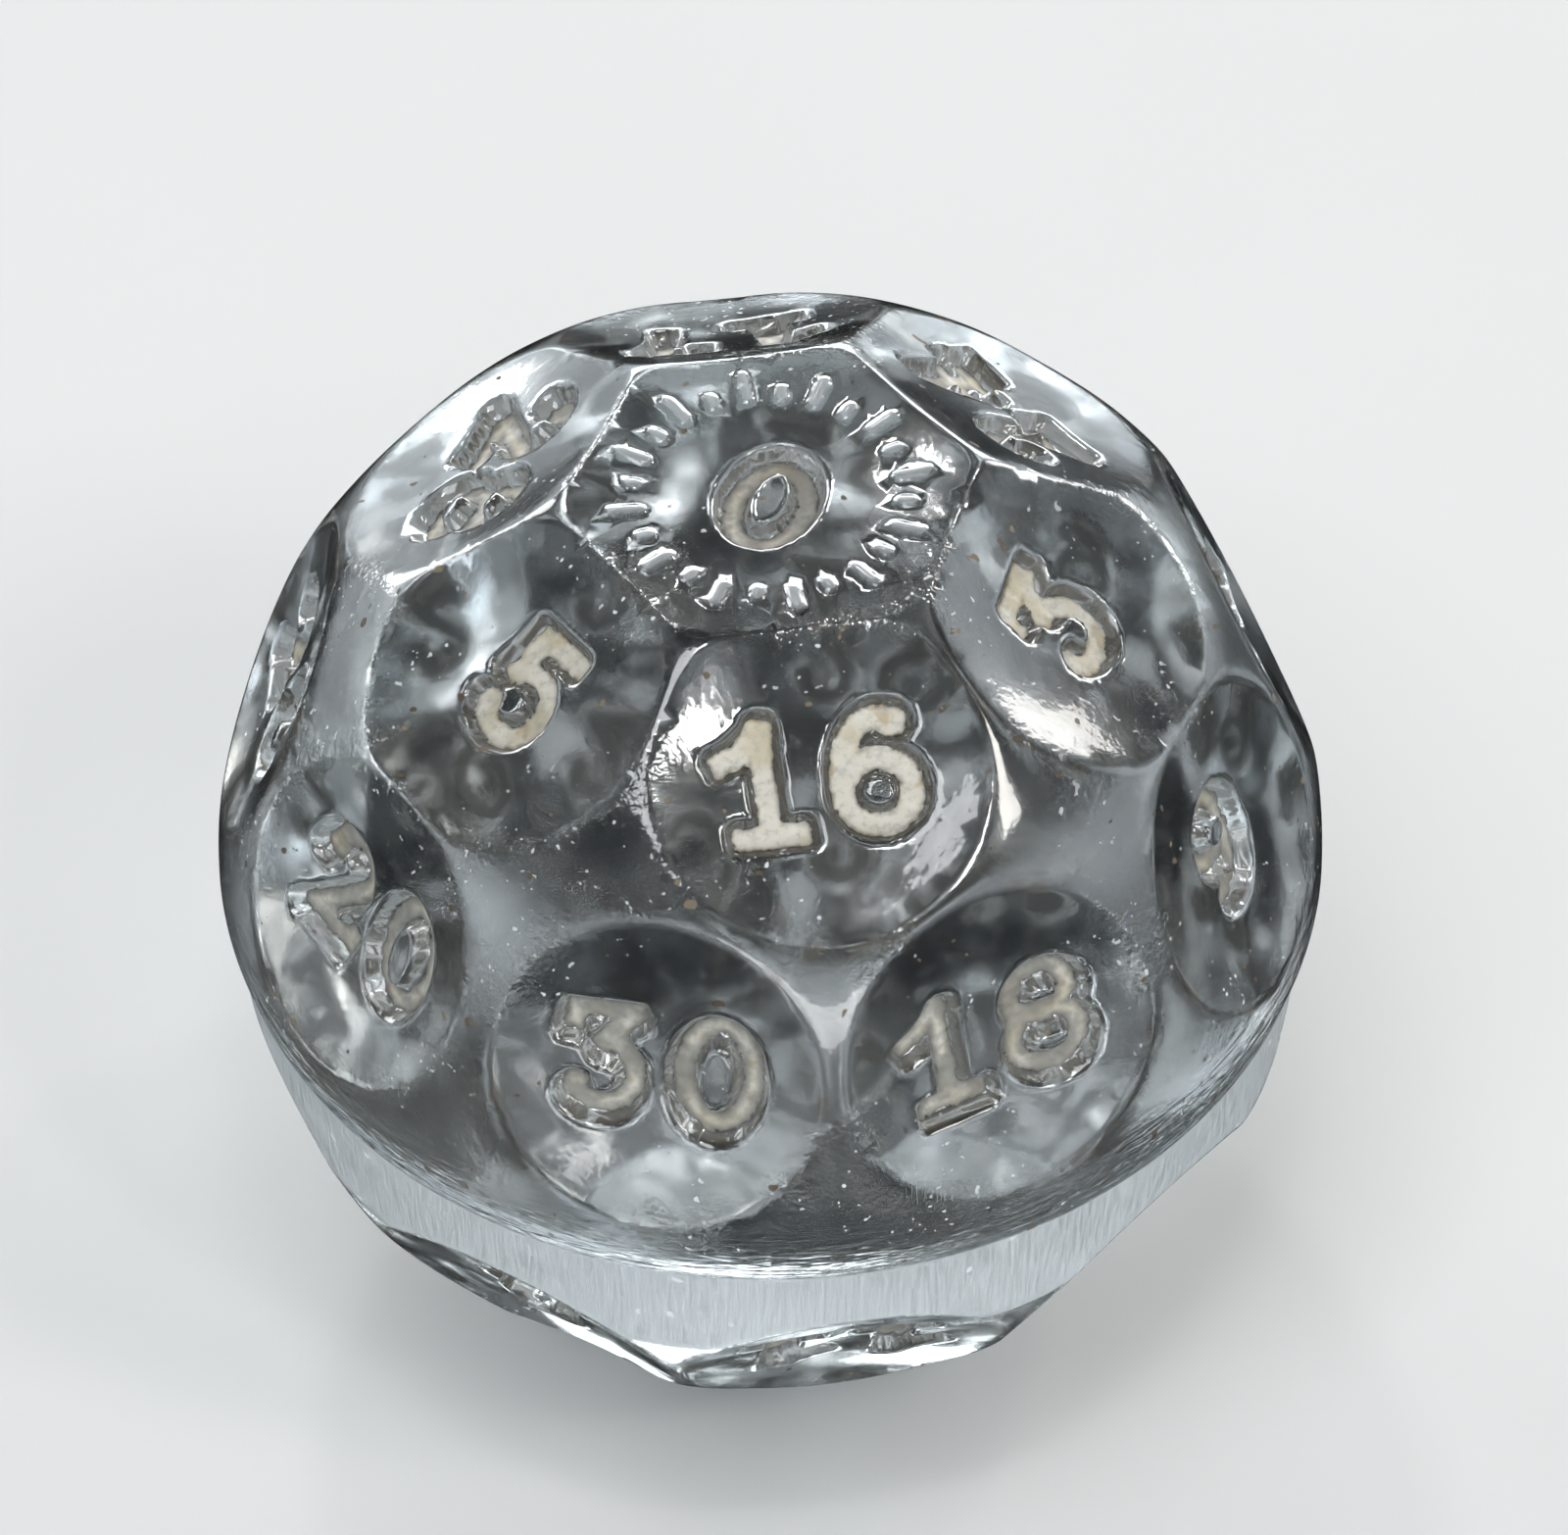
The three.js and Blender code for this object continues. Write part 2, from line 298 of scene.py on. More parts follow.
def surface(directions):
    """Points of the glass before its numerals, the facet each lies on (-1 off the facets), and how
    close the next facet is."""
    all_reaches = reaches(directions)
    ordered = np.sort(all_reaches, axis=1)
    nearest = ordered[:, 0]
    sharp = np.exp(-(all_reaches - nearest[:, None]) / RIDGE_SOFTNESS).sum(1)
    radius = nearest - RIDGE_SOFTNESS * np.log(sharp)
    points = directions * radius[:, None]
    points = directions * (radius + ripple(points))[:, None]
    return points, all_reaches.argmin(1) - 1, ordered[:, 1] - ordered[:, 0]


def mark_distance(flat_points):
    """How far points of the 0 facet lie outside its ring of raised marks."""
    step = 2 * math.pi / MARK_COUNT
    angle = np.arctan2(-flat_points[:, 0], flat_points[:, 1])
    index = np.round(angle / step).astype(int)
    length = np.where(index % 2 == 0, MARK_LENGTHS[0], MARK_LENGTHS[1])
    radius = np.linalg.norm(flat_points, axis=1)
    across = radius * np.sin(angle - index * step)
    along = radius * np.cos(angle - index * step) - MARK_INNER_RADIUS - length / 2
    rounding = MARK_WIDTH / 2
    outside = np.maximum(np.abs(along) - length / 2 + rounding, 0)
    return np.hypot(outside, across) - rounding


def facet_detail(points, owner):
    """For points on facets: distance outside the numerals and outside the raised marks."""
    numeral = np.full(len(points), FAR_AWAY)
    mark = np.full(len(points), FAR_AWAY)
    for index, facet in enumerate(FACETS):
        here = np.flatnonzero(owner == index)
        flat = facet.flat(points[here])
        numeral[here] = number_distance(flat, facet.number)
        if index == 0:
            mark[here] = mark_distance(flat)
    return numeral, mark


# ---------------------------------------------------------------- the glass mesh
def refine(directions, faces, wanted):
    """Splits every wanted triangle in four and halves its neighbours, so that no edge is left open."""
    pairs = np.sort(faces[:, [0, 1, 1, 2, 2, 0]].reshape(-1, 2), axis=1)
    edges, ids = np.unique(pairs, axis=0, return_inverse=True)
    ids = ids.reshape(-1, 3)
    split = np.zeros(len(edges), bool)
    split[ids[wanted]] = True
    while True:
        halves = split[ids].sum(1)
        if not (halves == 2).any():
            break
        split[ids[halves == 2]] = True
    halves = split[ids].sum(1)
    middles = directions[edges[split]].sum(1)
    middles /= np.linalg.norm(middles, axis=1)[:, None]
    new = np.full(len(edges), -1)
    new[split] = len(directions) + np.arange(split.sum())
    a, b, c = faces[halves == 3].T
    ab, bc, ca = new[ids[halves == 3]].T
    quarters = [np.stack(t, 1) for t in ((a, ab, ca), (ab, b, bc), (ca, bc, c), (ab, bc, ca))]
    halved = []
    for side in range(3):
        chosen = (halves == 1) & split[ids[:, side]]
        start, end, far = (faces[chosen, (side + turn) % 3] for turn in range(3))
        middle = new[ids[chosen, side]]
        halved += [np.stack([start, middle, far], 1), np.stack([middle, end, far], 1)]
    faces = np.concatenate([faces[halves == 0], *quarters, *halved])
    return np.concatenate([directions, middles]), faces


def wanted_edge(directions):
    """The longest edge that the mesh may have at each direction."""
    points, owner, gap = surface(directions)
    numeral, mark = facet_detail(points, owner)
    longest = np.where(owner < 0, BELT_EDGE, OPEN_EDGE)
    lip = np.abs(points[:, 2] / RADIUS - BELT_PROFILE[1][1]) < LIP_ZONE
    longest = np.where((gap < RIDGE_ZONE) | (lip & (owner < 0)), RIDGE_EDGE, longest)
    longest = np.where(numeral < WALL_RUN + NUMERAL_ZONE, RIDGE_EDGE, longest)
    at_wall = (numeral > WALL_ZONE[0]) & (numeral < WALL_ZONE[1])
    at_mark = np.abs(mark) < MARK_WALL
    return np.where(at_wall | at_mark, NUMERAL_EDGE, longest)


def icosphere(level):
    """Directions and faces of an even ball of triangles."""
    work = bpy.data.meshes.new("work")
    ball = bmesh.new()
    bmesh.ops.create_icosphere(ball, subdivisions=level, radius=1)
    ball.to_mesh(work)
    ball.free()
    directions = np.array([v.co for v in work.vertices], float)
    faces = np.array([p.vertices for p in work.polygons], int)
    bpy.data.meshes.remove(work)
    return directions / np.linalg.norm(directions, axis=1)[:, None], faces


def glass_form():
    """Directions and faces of the glass mesh, fine where the glass has detail."""
    directions, faces = icosphere(ICOSPHERE_LEVEL)
    for _ in range(REFINE_ROUNDS):
        corners = directions[faces]
        edge = np.linalg.norm(corners - np.roll(corners, 1, axis=1), axis=2).max(1) * RADIUS
        middles = corners.sum(1)
        middles /= np.linalg.norm(middles, axis=1)[:, None]
        directions, faces = refine(directions, faces, edge > wanted_edge(middles) * EDGE_TOLERANCE)
    return snap_to_outlines(directions), faces


def slope_of(distance, flat, value):
    """How fast a distance changes along x and y, where it has the given value."""
    return np.stack([distance(flat + [PROBE, 0]) - value, distance(flat + [0, PROBE]) - value], 1) / PROBE


def snap_to_outlines(directions):
    """Moves mesh points that lie close to the top or the foot of a recess wall onto it."""
    reach = NUMERAL_EDGE * SNAP_SHARE
    points, owner, _ = surface(directions)
    for index, facet in enumerate(FACETS):
        here = np.flatnonzero(owner == index)
        flat = facet.flat(points[here])
        value = number_distance(flat, facet.number)
        slope = slope_of(lambda places: number_distance(places, facet.number), flat, value)
        moves = np.zeros_like(flat)
        for level in (0.0, WALL_RUN):
            off = value - level
            near = np.abs(off) < reach
            size = np.maximum((slope**2).sum(1), SMALLEST_SLOPE)
            moves[near] = (-off[:, None] * slope / size[:, None])[near]
        points[here] += moves[:, :1] * facet.right + moves[:, 1:] * facet.top
    return points / np.linalg.norm(points, axis=1)[:, None]


def point_attribute(mesh, name, values):
    layer = mesh.attributes.new(name, "FLOAT", "POINT")
    layer.data.foreach_set("value", np.asarray(values, np.float32))


def mesh_object(name, points, faces, material):
    """A smooth mesh from points in millimetres from the ball's centre."""
    mesh = bpy.data.meshes.new(name)
    mesh.from_pydata(((points + CENTRE) * MM).tolist(), [], faces.tolist())
    mesh.update()
    mesh.polygons.foreach_set("use_smooth", np.ones(len(faces), bool))
    mesh.materials.append(material)
    piece = bpy.data.objects.new(name, mesh)
    bpy.context.scene.collection.objects.link(piece)
    return piece


def make_glass(material):
    directions, faces = glass_form()
    points, owner, gap = surface(directions)
    numeral, mark = facet_detail(points, owner)
    recess = recess_profile(numeral)
    raised = smooth_step(0.5 - mark / MARK_WALL)
    on_facet = owner >= 0
    lift = np.where(on_facet, MARK_HEIGHT * raised - RECESS_DEPTH * recess, 0)
    shaped = points + lift[:, None] * OUTWARD[owner]
    piece = mesh_object("glass_die", shaped, faces, material)
    height = points[:, 2] / RADIUS
    under_lip = smooth_step((BELT_TOP - height) / BELT_TOP_FADE)
    over_foot = smooth_step((height - BELT_FOOT) / BELT_FOOT_FADE)
    full = np.array([facet.number in FULL_NUMBERS for facet in FACETS])
    attributes = {
        "belt": np.where(on_facet, 0, under_lip * over_foot),
        "lip": np.where(on_facet, 0, np.exp(-(((height - LIP_HEIGHT) / LIP_SPREAD) ** 2))),
        "ridge": np.exp(-gap / RIDGE_SPREAD),
        "flow": np.where(on_facet, 0, np.exp(-((height / FOLD_SPREAD) ** 2))),
        "recess": recess,
        "worn": np.where(on_facet & full[owner], 0.0, 1.0),
        "mark": raised,
    }
    for name, values in attributes.items():
        point_attribute(piece.data, name, values)
    return piece


# ---------------------------------------------------------------- the enamel
# The numbers whose enamel is nearly whole. Elsewhere it is rubbed thin.
FULL_NUMBERS = {3, 5, 16, 7, 22, 13, 27, 4}
# The share of the recess depth that the enamel fills.
FILL_FULL = 0.26
FILL_WORN = 0.13
# How wide the rubbed rim of the enamel is.
RIM_FULL = 0.1
RIM_WORN = 0.3
# The enamel's underside lies this far inside the glass, so that no gap shows between them.
BOND = 0.012
# The enamel is this thick at least, and its top rises and falls by this much.
THINNEST = 0.02
TOP_UNEVENNESS = 0.014
TOP_WAVE = 0.35
# The enamel's edge rounds over this distance, down to this share of its thickness.
EDGE_ROUNDING = 0.07
EDGE_THICKNESS = 0.25
# How far up the wall the enamel climbs, as a share of where its level meets the wall, and how far its
# outline has worn back, on average and in broad and fine waves.
CLIMB_SHARE = 0.8
MEAN_WEAR = 0.018
LEAST_WEAR = -0.004
BROAD_WEAR, BROAD_WEAR_LENGTH = 0.02, 0.5
FINE_WEAR, FINE_WEAR_LENGTH = 0.012, 0.16
NOISE_WAVES = 14
NOISE_SPREAD = (0.6, 1.8)
FIRST_SEED = 1000
# Half the width and height of the sheet that an enamel is cut from, as shares of NUMERAL_HEIGHT.
SHEET_SHARES = (0.5, 0.72)
# Points this close to the outline, as a share of ENAMEL_EDGE, move onto it.
OUTLINE_SHARE = 0.45
OUTLINE_SLACK = 0.004
SMALLEST_ENAMEL_SLOPE = 0.3


def enamel_noise(points, seed, length):
    """Smooth seeded noise over a facet's plane, mostly from -1 to 1."""
    source = np.random.default_rng(seed)
    angles = source.uniform(0, 2 * math.pi, NOISE_WAVES)
    lengths = length * source.uniform(*NOISE_SPREAD, NOISE_WAVES)
    vectors = np.stack([np.cos(angles), np.sin(angles)], 1) / lengths[:, None] * 2 * math.pi
    phases = source.uniform(0, 2 * math.pi, NOISE_WAVES)
    return np.sin(points @ vectors.T + phases).sum(1) / math.sqrt(NOISE_WAVES)


def enamel_field(points, digit, seed, fill):
    """Positive inside the enamel's outline: where the wall has risen to the enamel's level."""
    climb = WALL_RUN * fill * CLIMB_SHARE
    broad = BROAD_WEAR * enamel_noise(points, seed, BROAD_WEAR_LENGTH)
    fine = FINE_WEAR * enamel_noise(points, seed + 1, FINE_WEAR_LENGTH)
    wear = MEAN_WEAR + broad + fine
    return climb + BOND - np.maximum(wear, LEAST_WEAR) - digit_distance(points, digit)


def lattice(half_width, half_height, edge):
    """A sheet of triangles with equal sides: its points and faces."""
    rise = edge * math.sqrt(3) / 2
    columns = int(half_width / edge) * 2 + 2
    rows = int(half_height / rise) * 2 + 2
    column, row = np.meshgrid(np.arange(columns), np.arange(rows))
    x = (column - columns / 2 + (row % 2) / 2) * edge
    y = (row - rows / 2) * rise
    index = column + row * columns
    here, beside = index[:-1, :-1], index[:-1, 1:]
    above, across = index[1:, :-1], index[1:, 1:]
    even = (row[:-1, :-1] % 2 == 0)
    lower = np.where(
        even[..., None], np.stack([here, beside, above], -1), np.stack([here, beside, across], -1))
    upper = np.where(
        even[..., None], np.stack([beside, across, above], -1), np.stack([here, across, above], -1))
    faces = np.concatenate([lower.reshape(-1, 3), upper.reshape(-1, 3)])
    return np.stack([x.ravel(), y.ravel()], 1), faces


def enamel_sheet(digit, seed, fill):
    """The enamel's outline as a flat sheet: its points and faces."""

    def field(points):
        return enamel_field(points, digit, seed, fill)

    flat, faces = lattice(NUMERAL_HEIGHT * SHEET_SHARES[0], NUMERAL_HEIGHT * SHEET_SHARES[1], ENAMEL_EDGE)
    value = field(flat)
    slope = slope_of(field, flat, value)
    near = np.abs(value) < ENAMEL_EDGE * OUTLINE_SHARE
    size = np.maximum((slope**2).sum(1), SMALLEST_ENAMEL_SLOPE)
    flat[near] -= (value[:, None] * slope / size[:, None])[near]
    faces = faces[(field(flat)[faces] > -OUTLINE_SLACK).all(1)]
    used, faces = np.unique(faces, return_inverse=True)
    return flat[used], faces.reshape(-1, 3)


def closed_faces(faces, count):
    """The faces of a sheet of so many points, of its copy underneath and of the walls between them."""
    sides = faces[:, [0, 1, 1, 2, 2, 0]].reshape(-1, 2)
    _, first, times = np.unique(np.sort(sides, axis=1), axis=0, return_index=True, return_counts=True)
    rim = sides[first[times == 1]]
    walls = [
        np.stack([rim[:, 1], rim[:, 0], rim[:, 0] + count], 1),
        np.stack([rim[:, 1], rim[:, 0] + count, rim[:, 1] + count], 1),
    ]
    return np.concatenate([faces, faces[:, ::-1] + count, *walls])


def make_enamel(facet, digit, x, label, material):
    """One digit's enamel: a closed body that lies on the recess floor and a little way up its wall."""
    full = facet.number in FULL_NUMBERS
    fill = FILL_FULL if full else FILL_WORN
    seed = FIRST_SEED + facet.number * 10 + int(x > 0)
    flat, faces = enamel_sheet(digit, seed, fill)
    value = enamel_field(flat, digit, seed, fill)
    glass = -RECESS_DEPTH * recess_profile(digit_distance(flat, digit))
    level = -RECESS_DEPTH * (1 - fill) + TOP_UNEVENNESS * enamel_noise(flat, seed + 2, TOP_WAVE)
    rounding = EDGE_THICKNESS + (1 - EDGE_THICKNESS) * smooth_step(value / EDGE_ROUNDING)
    top = glass + np.maximum(level - glass, THINNEST) * rounding
    plane = facet.middle + (flat[:, :1] + x) * facet.right + flat[:, 1:] * facet.top
    ground, _, _ = surface(plane / np.linalg.norm(plane, axis=1)[:, None])
    base = (ground - facet.middle) @ facet.outward
    over = plane + (base + top)[:, None] * facet.outward
    under = plane + (base + glass - BOND)[:, None] * facet.outward
    count = len(flat)
    piece = mesh_object(f"ivory_{label}", np.concatenate([over, under]), closed_faces(faces, count), material)
    edge = 1 - smooth_step(value / (RIM_FULL if full else RIM_WORN))
    point_attribute(piece.data, "edge", np.concatenate([edge, edge]))
    # Marks the underside, which the material paints near-black as shade seen through the glass.
    point_attribute(piece.data, "under", np.repeat([0.0, 1.0], count))
    point_attribute(piece.data, "worn", np.full(2 * count, 0.0 if full else 1.0))
    return piece


# ---------------------------------------------------------------- materials
MICRON = 0.000001

# Colours, as linear red, green and blue.
GLASS_TINT = (0.82, 0.87, 0.88, 1)
GROUND_GLASS = (0.66, 0.7, 0.72, 1)
RESIDUE_DARK = (0.05, 0.037, 0.022, 1)
RESIDUE_BROWN = (0.13, 0.105, 0.07, 1)
# Painted light: the recess walls are painted dark as shade beside full enamel and silvery grey as a sheen
# beside worn enamel.
PAINTED_WALL_SHADE = (0.05, 0.048, 0.042, 1)
PAINTED_WALL_SHEEN = (0.33, 0.325, 0.3, 1)
IVORY = (0.52, 0.495, 0.43, 1)
IVORY_AGED = (0.43, 0.385, 0.28, 1)
ENAMEL_STAIN = (0.34, 0.24, 0.11, 1)
ENAMEL_GREY = (0.3, 0.295, 0.27, 1)
ENAMEL_RIM = (0.16, 0.13, 0.09, 1)
ENAMEL_RUBBED = (0.15, 0.149, 0.137, 1)
# The enamel's underside, seen through the glass, is painted near-black as shade.
PAINTED_UNDERSIDE_SHADE = (0.04, 0.038, 0.033, 1)

# How many times each pattern in the glass repeats in a metre.
HANDLED_PATCHES = 420
DUST_SPECKS = 5200
SCRATCHED_AREAS = 330
PITS = 2900
SWELLS = 520
PEEL = 2600
PEBBLES = 3600
HAMMER_MARKS = 9000
RESIDUE_PATCHES = 900
LIP_RESIDUE = 500
RESIDUE_TONES = 1300

# Patterns round the axis: rates round it, in a radian, and along it, in a metre.
GRINDING = (150.0, 900.0)
MOULD_FOLDS = (9.0, 4200.0)
LIP_LAYERS = (14.0, 16000.0)


class Nodes:
    """Short names for building a node tree."""

    def __init__(self, name):
        self.material = bpy.data.materials.new(name)
        self.material.use_nodes = True
        self.tree = self.material.node_tree
        self.tree.nodes.clear()
        self.output = self.tree.nodes.new("ShaderNodeOutputMaterial")
        self.place = self.tree.nodes.new("ShaderNodeTexCoord").outputs["Object"]

    def add(self, kind, **settings):
        node = self.tree.nodes.new(kind)
        for key, value in settings.items():
            setattr(node, key, value)
        return node

    def put(self, socket, value):
        if isinstance(value, bpy.types.NodeSocket):
            self.tree.links.new(value, socket)
        else:
            socket.default_value = value

    def noise(self, scale, detail=2.0, roughness=0.5, distortion=0.0, place=None):
        node = self.add("ShaderNodeTexNoise")
        self.put(node.inputs["Vector"], place or self.place)
        self.put(node.inputs["Scale"], scale)
        self.put(node.inputs["Detail"], detail)
        self.put(node.inputs["Roughness"], roughness)
        self.put(node.inputs["Distortion"], distortion)
        return node.outputs["Fac"]

    def stretched(self, turn, scale):
        node = self.add("ShaderNodeMapping")
        self.put(node.inputs["Vector"], self.place)
        self.put(node.inputs["Rotation"], turn)
        self.put(node.inputs["Scale"], scale)
        return node.outputs["Vector"]

    def math(self, operation, first, second=0.0, third=0.0, clamp=False):
        node = self.add("ShaderNodeMath", operation=operation, use_clamp=clamp)
        for socket, value in zip(node.inputs, (first, second, third)):
            self.put(socket, value)
        return node.outputs[0]

    def ramp(self, value, low, high, start=0.0, end=1.0):
        node = self.add("ShaderNodeMapRange", interpolation_type="SMOOTHSTEP")
        for socket, number in zip(node.inputs, (value, low, high, start, end)):
            self.put(socket, number)
        return node.outputs[0]

    def attribute(self, name):
        return self.add("ShaderNodeAttribute", attribute_name=name).outputs["Fac"]

    def mix(self, factor, first, second):
        node = self.add("ShaderNodeMix", data_type="RGBA")
        self.put(node.inputs[0], factor)
        self.put(node.inputs[6], first)
        self.put(node.inputs[7], second)
        return node.outputs[2]

    def bump(self, height, distance, strength=1.0, normal=None):
        node = self.add("ShaderNodeBump")
        self.put(node.inputs["Height"], height)
        self.put(node.inputs["Distance"], distance)
        self.put(node.inputs["Strength"], strength)
        if normal is not None:
            self.put(node.inputs["Normal"], normal)
        return node.outputs["Normal"]

    def principled(self, **values):
        node = self.add("ShaderNodeBsdfPrincipled")
        for key, value in values.items():
            self.put(node.inputs[key.replace("_", " ")], value)
        return node


def scratches(nodes, turn, density, thinness, length):
    """Fine straight lines: stretched noise cut to its narrow middle."""
    place = nodes.stretched(turn, (density, density / length, density / length))
    noise = nodes.noise(1.0, detail=1.0, place=place)
    return nodes.ramp(nodes.math("ABSOLUTE", nodes.math("SUBTRACT", noise, 0.5)), 0.0, thinness, 1.0, 0.0)


def around_axis(nodes, rates):
    """Coordinates counted round the polar axis and along it, each at its own rate."""
    around, along = rates
    split = nodes.add("ShaderNodeSeparateXYZ")
    nodes.put(split.inputs[0], nodes.place)
    angle = nodes.math("ARCTAN2", split.outputs[0], split.outputs[1])
    join = nodes.add("ShaderNodeCombineXYZ")
    nodes.put(join.inputs[0], nodes.math("MULTIPLY", angle, around))
    nodes.put(join.inputs[1], nodes.math("MULTIPLY", split.outputs[2], along))
    return join.outputs[0]


class GlassPatterns:
    """What lies on the glass and where, each from 0 to 1."""

    def __init__(self, nodes):
        self.belt = nodes.attribute("belt")
        self.lip = nodes.attribute("lip")
        self.ridge = nodes.attribute("ridge")
        self.flow = nodes.attribute("flow")
        self.recess = nodes.attribute("recess")
        self.worn = nodes.attribute("worn")
        self.mark = nodes.attribute("mark")
        self.patches = nodes.ramp(nodes.noise(HANDLED_PATCHES, detail=3), 0.42, 0.66)
        specks = nodes.ramp(nodes.noise(DUST_SPECKS, detail=1.5), 0.66, 0.74)
        self.dust = nodes.math("MULTIPLY", specks, self.patches, clamp=True)
        lines = nodes.math("MAXIMUM",
                           scratches(nodes, (0.3, 0.9, 0.2), 5200, 0.006, 40),
                           scratches(nodes, (1.2, 0.2, 1.1), 6400, 0.005, 60))
        areas = nodes.ramp(nodes.noise(SCRATCHED_AREAS, detail=2, distortion=0.6), 0.56, 0.7)
        self.lines = nodes.math("MULTIPLY", lines, areas)
        self.pits = nodes.ramp(nodes.noise(PITS, detail=0.0), 0.8, 0.83)
        self.rough_ridge = nodes.math("MULTIPLY", self.ridge, self.patches)
        self.layers = nodes.noise(1.0, detail=2, roughness=0.7, place=around_axis(nodes, LIP_LAYERS))
        # Strongest halfway up a recess wall, and nothing on the recess floor or outside the recess.
        self.wall = nodes.math("MULTIPLY", self.recess, nodes.math("SUBTRACT", 1.0, self.recess))


def glass_roughness(nodes, on):
    roughness = nodes.math("MULTIPLY_ADD", on.belt, 0.28, 0.13)
    roughness = nodes.math("MULTIPLY_ADD", on.lines, 0.12, roughness)
    roughness = nodes.math("MULTIPLY_ADD", on.dust, 0.35, roughness)
    roughness = nodes.math("MULTIPLY_ADD", on.rough_ridge, 0.12, roughness)
    return nodes.math("MULTIPLY_ADD", on.mark, 0.18, roughness, clamp=True)


def glass_relief(nodes, on):
    """Bumps from the broadest to the finest: each one adds to the normal before it."""
    normal = nodes.bump(nodes.noise(SWELLS, detail=1, roughness=0.5), 30 * MICRON, 0.6)
    normal = nodes.bump(nodes.noise(PEEL, detail=2, roughness=0.6), 6 * MICRON, 0.6, normal)
    grinding = nodes.noise(1.0, detail=3, roughness=0.7, place=around_axis(nodes, GRINDING))
    normal = nodes.bump(nodes.math("MULTIPLY", grinding, on.belt), 30 * MICRON, 0.6, normal)
    folds = nodes.noise(1.0, detail=2, roughness=0.6, place=around_axis(nodes, MOULD_FOLDS))
    normal = nodes.bump(nodes.math("MULTIPLY", folds, on.flow), 70 * MICRON, 0.8, normal)
    normal = nodes.bump(nodes.math("MULTIPLY", on.layers, on.lip), 80 * MICRON, 0.9, normal)
    pebbles = nodes.math("MULTIPLY", nodes.noise(PEBBLES, detail=2, roughness=0.6), on.rough_ridge)
    normal = nodes.bump(pebbles, 50 * MICRON, 0.7, normal)
    hammered = nodes.math("MULTIPLY", nodes.noise(HAMMER_MARKS, detail=1.0), on.rough_ridge)
    normal = nodes.bump(hammered, 20 * MICRON, 0.8, normal)
    dents = nodes.math("MULTIPLY_ADD", on.lines, 0.3, nodes.math("ADD", on.dust, on.pits))
    return nodes.bump(dents, 12 * MICRON, -0.6, normal)


def grime_share(nodes, on):
    """How much of the glass is covered: residue, dust, pits, the ground belt, and painted shade and painted
    silvery sheen on the recess walls.
    """
    residue = nodes.ramp(nodes.noise(RESIDUE_PATCHES, detail=4, roughness=0.65), 0.5, 0.68)
    at_lip = nodes.math("MULTIPLY", on.lip, nodes.ramp(on.layers, 0.4, 0.6))
    in_places = nodes.ramp(nodes.noise(LIP_RESIDUE, detail=4, roughness=0.7), 0.36, 0.6)
    share = nodes.math("MULTIPLY", at_lip, in_places)
    on_ridge = nodes.math("MULTIPLY", nodes.math("MULTIPLY", on.ridge, residue), 0.35)
    share = nodes.math("MAXIMUM", share, on_ridge)
    share = nodes.math("MAXIMUM", share, nodes.math("MULTIPLY", on.dust, 0.8))
    share = nodes.math("MAXIMUM", share, on.pits)
    ground = nodes.noise(1.0, detail=3, roughness=0.6, place=around_axis(nodes, GRINDING))
    haze = nodes.ramp(ground, 0.34, 0.66, 0.24, 0.58)
    share = nodes.math("MAXIMUM", share, nodes.math("MULTIPLY", on.belt, haze))
    # Residue patches on the recess walls, coloured partly with the walls' painted shade and sheen.
    wall_residue_and_shade = nodes.math("MULTIPLY", nodes.math("MULTIPLY", on.wall, 0.9), residue)
    share = nodes.math("MAXIMUM", share, wall_residue_and_shade, clamp=True)
    # Painted shade on the walls beside full enamel and painted silvery sheen beside worn enamel; the raised
    # marks get a pale frost.
    wall_shade_sheen_and_mark_frost = nodes.math("MULTIPLY", on.wall, nodes.math("MULTIPLY_ADD", on.worn, -1.1, 2.8))
    wall_shade_sheen_and_mark_frost = nodes.math("MAXIMUM", wall_shade_sheen_and_mark_frost, nodes.math("MULTIPLY", on.mark, 0.22))
    return nodes.math("MAXIMUM", share, wall_shade_sheen_and_mark_frost)


def grime_colour(nodes, on):
    tones = nodes.ramp(nodes.noise(RESIDUE_TONES, detail=3), 0.42, 0.6)
    colour = nodes.mix(tones, RESIDUE_DARK, RESIDUE_BROWN)
    # In the recesses the colour turns to painted wall shade: dark beside full enamel, silvery grey beside
    # worn enamel.
    colour = nodes.mix(on.recess, colour, nodes.mix(on.worn, PAINTED_WALL_SHADE, PAINTED_WALL_SHEEN))
    pale = nodes.math("MAXIMUM", nodes.math("MAXIMUM", on.dust, on.belt), on.mark)
    return nodes.mix(pale, colour, GROUND_GLASS)


def glass_material():
    """Clear glass under a thin, sharply reflecting coat, with dull dirt over part of it and painted shade and
    painted silvery sheen on the recess walls.
    """
    nodes = Nodes("pressed_glass")
    on = GlassPatterns(nodes)
    normal = glass_relief(nodes, on)
    glass = nodes.principled(
        Base_Color=GLASS_TINT, Transmission_Weight=1.0, IOR=1.52, Roughness=glass_roughness(nodes, on),
        Normal=normal, Coat_Weight=1.0, Coat_Roughness=0.04, Coat_IOR=1.5, Coat_Normal=normal)
    grime_and_wall_shade = nodes.principled(Base_Color=grime_colour(nodes, on), Roughness=0.75, Normal=normal)
    blend = nodes.add("ShaderNodeMixShader")
    nodes.put(blend.inputs[0], grime_share(nodes, on))
    nodes.put(blend.inputs[1], glass.outputs[0])
    nodes.put(blend.inputs[2], grime_and_wall_shade.outputs[0])
    nodes.put(nodes.output.inputs["Surface"], blend.outputs[0])
    return nodes.material


